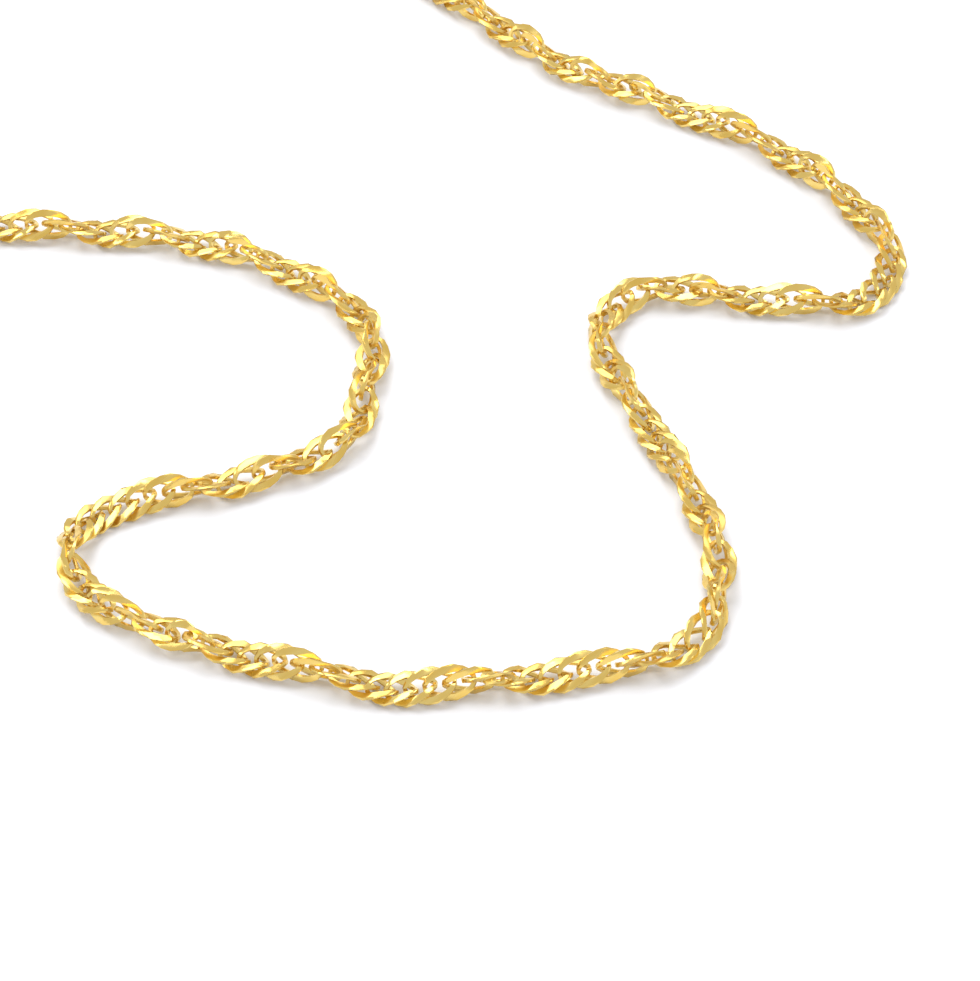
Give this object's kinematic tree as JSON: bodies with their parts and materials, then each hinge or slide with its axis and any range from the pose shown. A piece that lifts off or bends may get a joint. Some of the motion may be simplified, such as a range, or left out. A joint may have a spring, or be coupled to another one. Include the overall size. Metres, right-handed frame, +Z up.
{
  "type": "singapore chain necklace",
  "caption": "Fine gold-coloured necklace of diamond-cut, double-linked oval links twisted into a rope, lying loosely as one closed loop with a spring ring clasp.",
  "frame": {"origin": "point on the table below the middle of the outline of the lying loop", "axes": "+X along the longer side of the loop, from the clasp's end to the front; +Y across it, away from the viewer of the picture; +Z up from the table"},
  "size_m": [0.147, 0.1208, 0.0027],
  "materials": {
    "gold_links": "polished gold with bright diamond-cut flats",
    "gold_fittings": "polished gold wire"
  },
  "bodies": {
    "root": {"chain_left": "gold_links", "chain_right": "gold_links", "jump_ring_left": "gold_fittings", "jump_ring_right": "gold_fittings", "clasp": "gold_fittings"}
  },
  "joints": []
}
